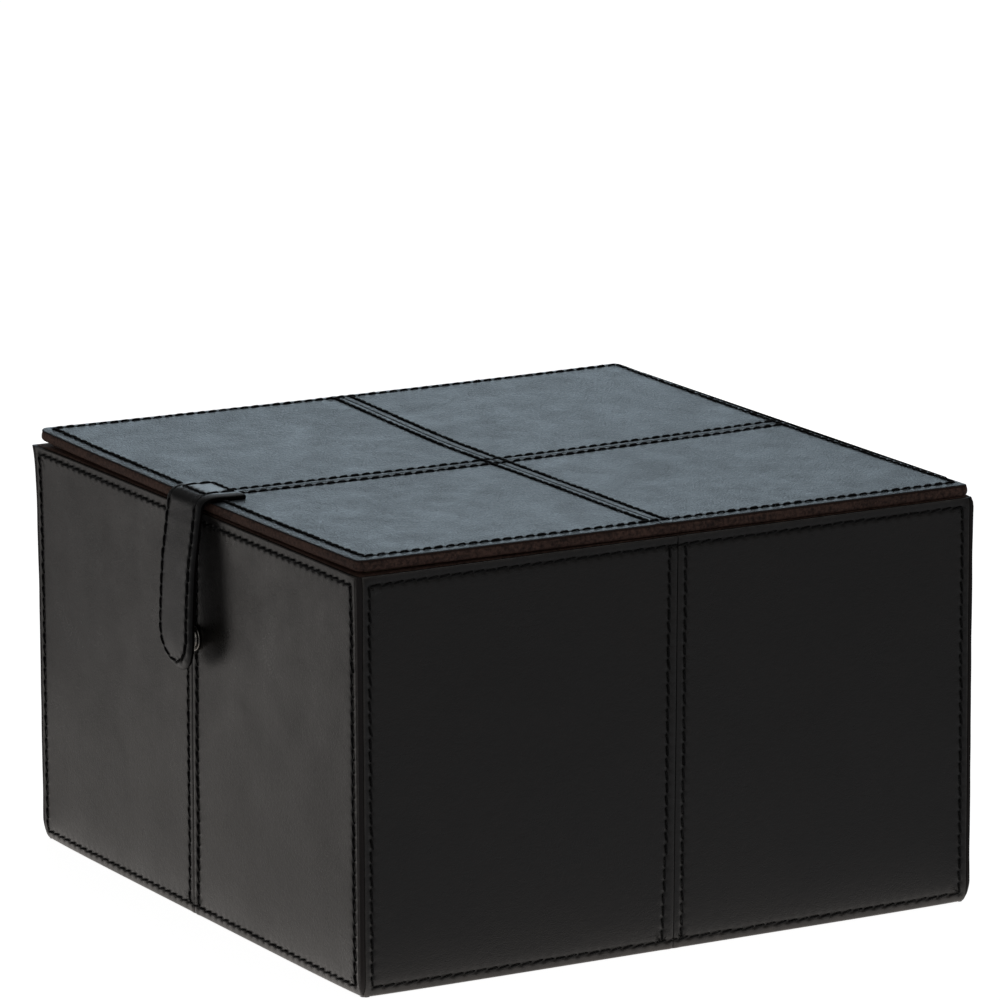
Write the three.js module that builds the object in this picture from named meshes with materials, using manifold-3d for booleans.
// Square hat box in stitched leather over board: body, hinged lid and a
// closing strap that hangs over a stud on the front wall.
// Millimetres. +Z is up, the front wall (strap side) faces -Y, the right wall
// faces +X, and the origin is the centre of the underside.
import * as THREE from "three";
import { mergeVertices } from "three/addons/utils/BufferGeometryUtils.js";
import Module from "manifold-3d";

const wasm = await Module();
wasm.setup();

// ---- body dimensions ----------------------------------------------------
const SIDE = 350; // outside width and depth of the body
const WALL_H = 210; // height of the body to the top of the rim
const HIDE = 1.6; // outer leather
const BOARD = 5; // wall and base board
const LINING = 1.2; // inside lining
const BOND = 0.1; // glue line between bonded layers
const CORNER = 2.4; // leg of the strip that closes each vertical corner
const CORNER_R = 1.1; // rounding of that strip's outer edge
const RIM_T = 2.4; // height of the raw leather rim on top of the wall boards
const RIM_SHOW = 0.4; // the rim stands this much above the outer leather
const UNDERLAY = 1.2; // leather under the base

const HALF = SIDE / 2;
const SEAM_HALF = BOND / 2; // half the gap of a butted or mitred joint
const BOARD_OUT = HALF - HIDE - BOND; // outer face of the wall boards
const BOARD_IN = BOARD_OUT - BOARD;
const LINING_OUT = BOARD_IN - BOND;
const LINING_IN = LINING_OUT - LINING; // inside of the box
const FLOOR_HALF = LINING_IN - BOND; // half size of what fits between the linings
const PANEL_IN = BOARD_OUT + BOND; // inner face of the outer leather
const PANEL_END = HALF - CORNER - BOND;
const BOARD_Z0 = UNDERLAY + BOND;
const RIM_Z0 = WALL_H - RIM_T;
const BOARD_TOP = RIM_Z0 - BOND; // top of the wall boards and linings
const PANEL_TOP = WALL_H - RIM_SHOW; // top of the outer leather
const FLOOR_Z = BOARD_Z0 + BOARD + BOND;

// Each wall is drawn as the front wall and turned about Z by `turn` degrees.
// Its middle seam is a straight line; bottom and top are measured along the
// drawn wall from its middle. Panels are named from -X to +X as drawn.
// Full-width walls overlap the ends of the others.
const WALLS = [
  {
    side: "front", turn: 0, fullWidth: true, seam: { bottom: -2.0, top: 0.4 },
    panels: ["front_panel_left", "front_panel_right"],
  },
  {
    side: "right", turn: 90, fullWidth: false, seam: { bottom: 0.5, top: 3.3 },
    panels: ["right_panel_front", "right_panel_back"],
  },
  {
    side: "back", turn: 180, fullWidth: true, seam: { bottom: 0, top: 0 },
    panels: ["back_panel_right", "back_panel_left"],
  },
  {
    side: "left", turn: -90, fullWidth: false, seam: { bottom: 0, top: 0 },
    panels: ["left_panel_back", "left_panel_front"],
  },
];

// ---- lid dimensions -----------------------------------------------------
const LID_SIDE = 347; // width and depth of the lid
const LID_GAP = 0.8; // air gap between the rim and the lid
const LID_HIDE = 1.4; // leather on the lid's top
const LID_BOARD = 3.4; // stiff board in the lid
const LID_UNDER = 1.0; // leather on the lid's underside
const LID_CORNER_R = 3.5; // plan corners of the top leather
const EDGE = 1.4; // thickness of the lid's edge strips
const EDGE_CHAMFER = 1.2; // leg of the chamfer across their plan corners
const PAD = 3; // board that drops into the mouth
const PAD_LINING = 0.8;
const PAD_LINING_LAP = 0.8; // the lining reaches this far past the pad board
const PAD_CLEAR = 1.6; // clearance of the pad lining to the wall lining
const LID_SEAM_A = { front: 6.0, back: -2.0 }; // x of the front-to-back seam
const LID_SEAM_B = { left: 1.0, right: -5.0 }; // y of the side-to-side seam

const LID_HALF = LID_SIDE / 2;
const LID_Z0 = WALL_H + LID_GAP;
const LID_BOARD_Z0 = LID_Z0 + LID_UNDER + BOND;
const LID_BOARD_Z1 = LID_BOARD_Z0 + LID_BOARD;
const LID_HIDE_Z0 = LID_BOARD_Z1 + BOND;
const LID_TOP = LID_HIDE_Z0 + LID_HIDE;
const LID_CORE = LID_HALF - EDGE - BOND; // half size of the lid's board

// ---- closure and hinge dimensions ---------------------------------------
const STUD_X = 3; // closure stud
const STUD_Z = 144.5;
const STUD_R = 6.75; // radius of its flange
const STUD_T = 4.2; // how far the stud stands proud of the leather
const STUD_POST = 4.9; // radius of the stud above its flange
const SHANK_R = 2.0;
const SHANK_SHORT = 0.1; // the shank ends this far short of the board's inner face
const HOLE_R = 2.2;
const WASHER_R = 6.0;
const WASHER_T = 0.8;
const WASHER_SINK = 0.1; // the washer lies this far below the board's inner face
const RECESS_R = WASHER_R + 0.3;
const RECESS_DEPTH = WASHER_T + 0.4;
const CUT_OVERRUN = 1; // cutters reach this far past the board's faces

const STRAP_W = 36; // width of the strap
const STRAP_X = 4; // middle of the strap along the front edge
const STRAP_LAYER = 1.6; // thickness of each of its two layers
const STRAP_LEN = 84; // from the fold to the tip
const STRAP_LEAN = THREE.MathUtils.degToRad(4); // how far it stands away from the wall
const FOLD_Y = -181.2; // the line the strap flexes about
const FOLD_Z = 213.5;
const TAB_BACK = -156.2; // inner end of the sewn tab
const TAB_FRONT = -179.0; // outer end of the sewn tab
const STRAP_HALF_W = STRAP_W / 2;
const STRAP_FACE = STRAP_LAYER + BOND / 2; // from the strap's mid-plane to its faces
const CLOSURE_X = STUD_X - STRAP_X; // the stud's place on the strap
const CLOSURE_DROP = (FOLD_Z - STUD_Z) / Math.cos(STRAP_LEAN); // fold to stud, along the strap

const CUP_R = 6.5;
const CUP_T = 4.7;
const CUP_WALL = 1.2;
const CUP_FLOOR = 1.8; // height of the floor inside the cup
const CUP_BEVEL = 0.3;
const COLLAR_R = 3;
const COLLAR_HOLE_R = 3.2;
const COLLAR_SHORT = 0.2; // the collar ends this far short of the strap's outer layer side
const MAGNET_R = CUP_R - 1.5;
const MAGNET_T = 2.6;
const MAGNET_BASE = CUP_FLOOR + 0.1;

const HINGE_W = 300; // length of the leather hinge along the back
const HINGE_LEAF = 28; // height of the leaf on the back wall
const HINGE_T = 1.3;
const HINGE_TOP = WALL_H - 0.6; // top of the leaf on the back wall
const HINGE_LIFT = 0.1; // the lid's leaf starts this far above its underside

// ---- mesh resolution ----------------------------------------------------
const CURVE_SEGMENTS = 10; // round holes in extruded outlines
const CORNER_STEPS = 4;
const TIP_STEPS = 16;
const DISC_SEGMENTS = 24; // cutters and washer
const TURNED_SEGMENTS = 28; // stud, cup and magnet

// ---- materials ----------------------------------------------------------
const finish = (settings) => () => new THREE.MeshStandardMaterial(settings);
const leather = finish({ color: 0x1b1b1d, roughness: 0.5, metalness: 0 });
const rawEdge = finish({ color: 0x2c201c, roughness: 0.85, metalness: 0 });
const lining = finish({ color: 0x2a211c, roughness: 0.95, metalness: 0 });
const board = finish({ color: 0x7a6a55, roughness: 0.9, metalness: 0 });
const steel = finish({ color: 0xa8a8a4, roughness: 0.3, metalness: 1 });
const magnet = finish({ color: 0x6a6a6c, roughness: 0.4, metalness: 1 });

// ---- outlines -----------------------------------------------------------
const rect = (x0, y0, x1, y1) => [[x0, y0], [x1, y0], [x1, y1], [x0, y1]];
const square = (half) => rect(-half, -half, half, half);

// Points of an arc, a quarter turn unless told otherwise.
function arc(x, y, radius, start, sweep = Math.PI / 2, steps = CORNER_STEPS) {
  const points = [];
  for (let i = 0; i <= steps; i++) {
    const angle = start + (i / steps) * sweep;
    points.push([x + radius * Math.cos(angle), y + radius * Math.sin(angle)]);
  }
  return points;
}

// ---- geometry helpers ---------------------------------------------------
// An outline with round holes [x, y, radius], extruded along +Z.
function prism(points, depth, holes = []) {
  const shape = new THREE.Shape(points.map(([x, y]) => new THREE.Vector2(x, y)));
  for (const [x, y, radius] of holes) {
    const path = new THREE.Path();
    path.absarc(x, y, radius, 0, Math.PI * 2, true);
    shape.holes.push(path);
  }
  return new THREE.ExtrudeGeometry(shape, {
    depth,
    bevelEnabled: false,
    curveSegments: CURVE_SEGMENTS,
  });
}

// The same stood upright: outline in (x, z), thickness from y = 0 towards -Y.
const uprightPrism = (points, depth, holes) =>
  prism(points, depth, holes).rotateX(Math.PI / 2);

// A profile of [radius, height] points turned about the Y axis.
const turned = (profile) =>
  new THREE.LatheGeometry(profile.map(([r, h]) => new THREE.Vector2(r, h)), TURNED_SEGMENTS);

function solid(geometry) {
  const bare = new THREE.BufferGeometry();
  bare.setAttribute("position", geometry.attributes.position);
  bare.setIndex(geometry.index);
  const merged = mergeVertices(bare, 1e-4);
  return new wasm.Manifold(
    new wasm.Mesh({
      numProp: 3,
      vertProperties: new Float32Array(merged.attributes.position.array),
      triVerts: new Uint32Array(merged.index.array),
    }),
  );
}

function geometryOf(manifold) {
  const mesh = manifold.getMesh();
  const geometry = new THREE.BufferGeometry();
  const positions = new Float32Array(mesh.vertProperties);
  geometry.setAttribute("position", new THREE.BufferAttribute(positions, 3));
  geometry.setIndex(new THREE.BufferAttribute(new Uint32Array(mesh.triVerts), 1));
  return geometry;
}

// A solid disc on the stud's axis, between two values of y.
function studDisc(radius, y0, y1) {
  const geometry = new THREE.CylinderGeometry(radius, radius, y1 - y0, DISC_SEGMENTS);
  return solid(geometry.translate(STUD_X, (y0 + y1) / 2, STUD_Z));
}

// ---- scene helpers ------------------------------------------------------
function add(group, name, geometry, material) {
  const mesh = new THREE.Mesh(geometry, material);
  mesh.name = name;
  group.add(mesh);
  return mesh;
}

function turnedGroup(parent, degrees) {
  const group = new THREE.Group();
  group.rotation.z = THREE.MathUtils.degToRad(degrees);
  parent.add(group);
  return group;
}

// A level layer: a plan outline between two heights.
function layer(group, name, points, z0, z1, material) {
  add(group, name, prism(points, z1 - z0), material).position.z = z0;
}

// An upright sheet of a wall, between two distances from the middle of the box.
function sheet(group, name, points, inner, outer, material, holes) {
  const geometry = uprightPrism(points, outer - inner, holes);
  add(group, name, geometry, material).position.y = -inner;
}

// ---- walls --------------------------------------------------------------
const shankHole = studDisc(HOLE_R, -BOARD_OUT - CUT_OVERRUN, -BOARD_IN + CUT_OVERRUN);

// Outer leather: two panels butted at the middle seam.
function addPanels(wall, { side, seam, panels }) {
  const negative = [
    [-PANEL_END, 0], [seam.bottom - SEAM_HALF, 0],
    [seam.top - SEAM_HALF, PANEL_TOP], [-PANEL_END, PANEL_TOP],
  ];
  const positive = [
    [seam.bottom + SEAM_HALF, 0], [PANEL_END, 0],
    [PANEL_END, PANEL_TOP], [seam.top + SEAM_HALF, PANEL_TOP],
  ];
  const holes = side === "front" ? [[STUD_X, STUD_Z, HOLE_R]] : [];
  sheet(wall, panels[0], negative, PANEL_IN, HALF, leather());
  sheet(wall, panels[1], positive, PANEL_IN, HALF, leather(), holes);
}

// Front board, in box coordinates: a hole for the stud's shank, and a recess
// on the inside for its washer.
function addFrontBoard(wall, name, points) {
  const blank = uprightPrism(points, BOARD).translate(0, -BOARD_IN, 0);
  const recess = studDisc(RECESS_R, -BOARD_IN - RECESS_DEPTH, -BOARD_IN + CUT_OVERRUN);
  add(wall, name, geometryOf(solid(blank).subtract(shankHole).subtract(recess)), board());
}

function addWallBoard(wall, { side, fullWidth }) {
  const name = side + "_wall_board";
  const reach = fullWidth ? BOARD_OUT : BOARD_IN - BOND;
  const points = rect(-reach, BOARD_Z0, reach, BOARD_TOP);
  if (side === "front") {
    addFrontBoard(wall, name, points);
  } else {
    sheet(wall, name, points, BOARD_IN, BOARD_OUT, board());
  }
}

function addWallLining(wall, { side, fullWidth }) {
  const reach = fullWidth ? LINING_OUT : FLOOR_HALF;
  const points = rect(-reach, FLOOR_Z, reach, BOARD_TOP);
  sheet(wall, side + "_lining", points, LINING_IN, LINING_OUT, lining());
}

// Raw leather strip on top of the board, behind the outer leather, with
// mitred ends.
function addRim(wall, { side }) {
  const points = [
    [-BOARD_OUT + SEAM_HALF, -BOARD_OUT], [BOARD_OUT - SEAM_HALF, -BOARD_OUT],
    [LINING_IN - SEAM_HALF, -LINING_IN], [-LINING_IN + SEAM_HALF, -LINING_IN],
  ];
  layer(wall, "rim_" + side, points, RIM_Z0, WALL_H, rawEdge());
}

function addWalls(body) {
  for (const spec of WALLS) {
    const wall = turnedGroup(body, spec.turn);
    addPanels(wall, spec);
    addWallBoard(wall, spec);
    addWallLining(wall, spec);
    addRim(wall, spec);
  }
}

// An angle of leather closes each vertical corner, drawn at the front right.
function addCornerStrips(body) {
  const leg = HALF - CORNER;
  const points = [
    [leg, -HALF],
    ...arc(HALF - CORNER_R, -HALF + CORNER_R, CORNER_R, -Math.PI / 2),
    [HALF, -leg], [PANEL_IN, -leg], [PANEL_IN, -PANEL_IN], [leg, -PANEL_IN],
  ];
  const turns = [["front_right", 0], ["back_right", 90], ["back_left", 180], ["front_left", -90]];
  for (const [place, turn] of turns) {
    const name = "corner_strip_" + place;
    layer(turnedGroup(body, turn), name, points, 0, PANEL_TOP, rawEdge());
  }
}

// ---- base ---------------------------------------------------------------
function addBase(body) {
  const boardOutline = square(BOARD_IN - BOND);
  layer(body, "base_underlay", square(BOARD_OUT), 0, UNDERLAY, leather());
  layer(body, "base_board", boardOutline, BOARD_Z0, BOARD_Z0 + BOARD, board());
  layer(body, "floor_lining", square(FLOOR_HALF), FLOOR_Z, FLOOR_Z + LINING, lining());
}

// ---- closure stud -------------------------------------------------------
function addStud(body) {
  const shankEnd = -(HIDE + BOND + BOARD) + SHANK_SHORT;
  // [radius, distance out from the leather]
  const profile = [
    [0, shankEnd], [SHANK_R, shankEnd], [SHANK_R, BOND], // shank
    [STUD_R - 0.3, BOND], [STUD_R, 0.4], [STUD_R, 1.1], [STUD_R - 0.5, 1.5], // flange
    [STUD_POST, 1.6], [STUD_POST, STUD_T - 0.5], [STUD_POST - 0.5, STUD_T], [0, STUD_T], // post
  ];
  const geometry = turned(profile).rotateX(Math.PI); // head towards -Y
  add(body, "stud_cap", geometry, steel()).position.set(STUD_X, -HALF, STUD_Z);

  const washerFace = -BOARD_IN - WASHER_SINK;
  const washer = studDisc(WASHER_R, washerFace - WASHER_T, washerFace).subtract(shankHole);
  add(body, "stud_washer", geometryOf(washer), steel());
}

// ---- lid ----------------------------------------------------------------
// Top leather: four panels butted along two crossing seams.
function addLidPanels(lid) {
  const h = LID_HALF;
  const g = SEAM_HALF;
  const slopeA = (LID_SEAM_A.back - LID_SEAM_A.front) / LID_SIDE;
  const slopeB = (LID_SEAM_B.right - LID_SEAM_B.left) / LID_SIDE;
  const seamAX = (y) => LID_SEAM_A.front + slopeA * (y + h);
  const seamBY = (x) => LID_SEAM_B.left + slopeB * (x + h);
  const crossY = seamBY(seamAX(0)) / (1 - slopeA * slopeB);
  const crossX = seamAX(crossY);

  const { front, back } = LID_SEAM_A;
  const { left, right } = LID_SEAM_B;
  const corner = (signX, signY, start) =>
    arc(signX * (h - LID_CORNER_R), signY * (h - LID_CORNER_R), LID_CORNER_R, start);
  const panels = {
    front_left: [
      ...corner(-1, -1, Math.PI), [front - g, -h], [crossX - g, crossY - g], [-h, left - g],
    ],
    front_right: [
      [front + g, -h], ...corner(1, -1, -Math.PI / 2), [h, right - g], [crossX + g, crossY - g],
    ],
    back_right: [
      [crossX + g, crossY + g], [h, right + g], ...corner(1, 1, 0), [back + g, h],
    ],
    back_left: [
      [-h, left + g], [crossX - g, crossY + g], [back - g, h], ...corner(-1, 1, Math.PI / 2),
    ],
  };
  for (const [place, points] of Object.entries(panels)) {
    layer(lid, "lid_panel_" + place, points, LID_HIDE_Z0, LID_TOP, leather());
  }
}

// Edge strips around the lid's board, mitred at the chamfered corners.
function addLidEdges(lid) {
  const h = LID_HALF;
  const inner = h - EDGE;
  const mitre = h - EDGE_CHAMFER / 2; // the mitre meets the middle of the chamfer
  const points = [
    [-h + EDGE_CHAMFER, -h], [h - EDGE_CHAMFER, -h], [mitre - SEAM_HALF, -mitre],
    [inner - SEAM_HALF, -inner], [-inner + SEAM_HALF, -inner], [-mitre + SEAM_HALF, -mitre],
  ];
  for (const { side, turn } of WALLS) {
    const strip = turnedGroup(lid, turn);
    layer(strip, "lid_edge_" + side, points, LID_Z0, LID_BOARD_Z1, rawEdge());
  }
}

// Pad that drops into the mouth, with its lining below.
function addLidPad(lid) {
  const liningHalf = LINING_IN - PAD_CLEAR;
  const padTop = LID_Z0 - BOND;
  const padZ0 = padTop - PAD;
  const liningTop = padZ0 - BOND;
  layer(lid, "lid_inner_pad", square(liningHalf - PAD_LINING_LAP), padZ0, padTop, board());
  layer(lid, "lid_inner_lining", square(liningHalf),
    liningTop - PAD_LINING, liningTop, lining());
}

function addLid(lid) {
  const core = square(LID_CORE);
  addLidPanels(lid);
  layer(lid, "lid_board", core, LID_BOARD_Z0, LID_BOARD_Z1, board());
  layer(lid, "lid_underside", core, LID_Z0, LID_Z0 + LID_UNDER, leather());
  addLidEdges(lid);
  addLidPad(lid);
}

// ---- leather hinge ------------------------------------------------------
// One leaf on the outside of the back wall, one on the lid's back edge.
function addHinge(body, lid) {
  const leaf = (backFace) => {
    const y = backFace + BOND;
    return rect(-HINGE_W / 2, y, HINGE_W / 2, y + HINGE_T);
  };
  layer(body, "hinge_leaf_body", leaf(HALF), HINGE_TOP - HINGE_LEAF, HINGE_TOP, leather());
  layer(lid, "hinge_leaf_lid", leaf(LID_HALF), LID_Z0 + HINGE_LIFT, LID_BOARD_Z1, leather());
}

// ---- strap --------------------------------------------------------------
// Two-layer tab sewn flat on the lid.
function addStrapTab(lid) {
  const points = rect(STRAP_X - STRAP_HALF_W, TAB_FRONT, STRAP_X + STRAP_HALF_W, TAB_BACK);
  const innerZ = LID_TOP + BOND;
  const outerZ = innerZ + STRAP_LAYER + BOND;
  layer(lid, "strap_tab_inner", points, innerZ, innerZ + STRAP_LAYER, leather());
  layer(lid, "strap_tab_outer", points, outerZ, outerZ + STRAP_LAYER, leather());
}

// One layer of the hanging strap: straight sides and a round tip. The front
// face lies STRAP_LAYER towards -Y from backY.
function strapLayer(backY, holes) {
  const tipY = -(STRAP_LEN - STRAP_HALF_W);
  const points = [
    [-STRAP_HALF_W, 0],
    ...arc(0, tipY, STRAP_HALF_W, -Math.PI, Math.PI, TIP_STEPS),
    [STRAP_HALF_W, 0],
  ];
  return uprightPrism(points, STRAP_LAYER, holes).translate(0, backY, 0);
}

// Magnet cup on the inner layer, opening towards the wall, with a collar in
// the layer's hole.
function addMagnetCup(strap) {
  const collarEnd = -STRAP_LAYER + COLLAR_SHORT;
  // [radius, distance from the strap's inner face]
  const profile = [
    [0, collarEnd], [COLLAR_R, collarEnd], [COLLAR_R, BOND],
    [CUP_R - CUP_BEVEL, BOND], [CUP_R, BOND + CUP_BEVEL],
    [CUP_R, CUP_T - CUP_BEVEL], [CUP_R - CUP_BEVEL, CUP_T],
    [CUP_R - CUP_WALL, CUP_T], [CUP_R - CUP_WALL, CUP_FLOOR], [0, CUP_FLOOR],
  ];
  const cup = turned(profile).translate(CLOSURE_X, STRAP_FACE, 0);
  add(strap, "magnet_cup", cup, steel()).position.z = -CLOSURE_DROP;

  const disc = new THREE.CylinderGeometry(MAGNET_R, MAGNET_R, MAGNET_T, TURNED_SEGMENTS);
  disc.translate(CLOSURE_X, STRAP_FACE + MAGNET_BASE + MAGNET_T / 2, 0);
  add(strap, "closure_magnet", disc, magnet()).position.z = -CLOSURE_DROP;
}

// The hanging part flexes about the fold line just outside the lid's front
// edge.
function addStrap(box) {
  const strap = new THREE.Group();
  strap.position.set(STRAP_X, FOLD_Y, FOLD_Z);
  strap.rotation.x = -STRAP_LEAN; // the tip leans away from the wall
  box.add(strap);

  const collarHole = [CLOSURE_X, -CLOSURE_DROP, COLLAR_HOLE_R];
  add(strap, "strap_outer", strapLayer(-BOND / 2), leather());
  add(strap, "strap_inner", strapLayer(STRAP_FACE, [collarHole]), leather());
  addMagnetCup(strap);
}

// ---- assembly -----------------------------------------------------------
const box = new THREE.Group();
const body = new THREE.Group();
const lid = new THREE.Group();
box.add(body, lid);

addWalls(body);
addCornerStrips(body);
addBase(body);
addStud(body);
addLid(lid);
addHinge(body, lid);
addStrapTab(lid);
addStrap(box);

export default box;
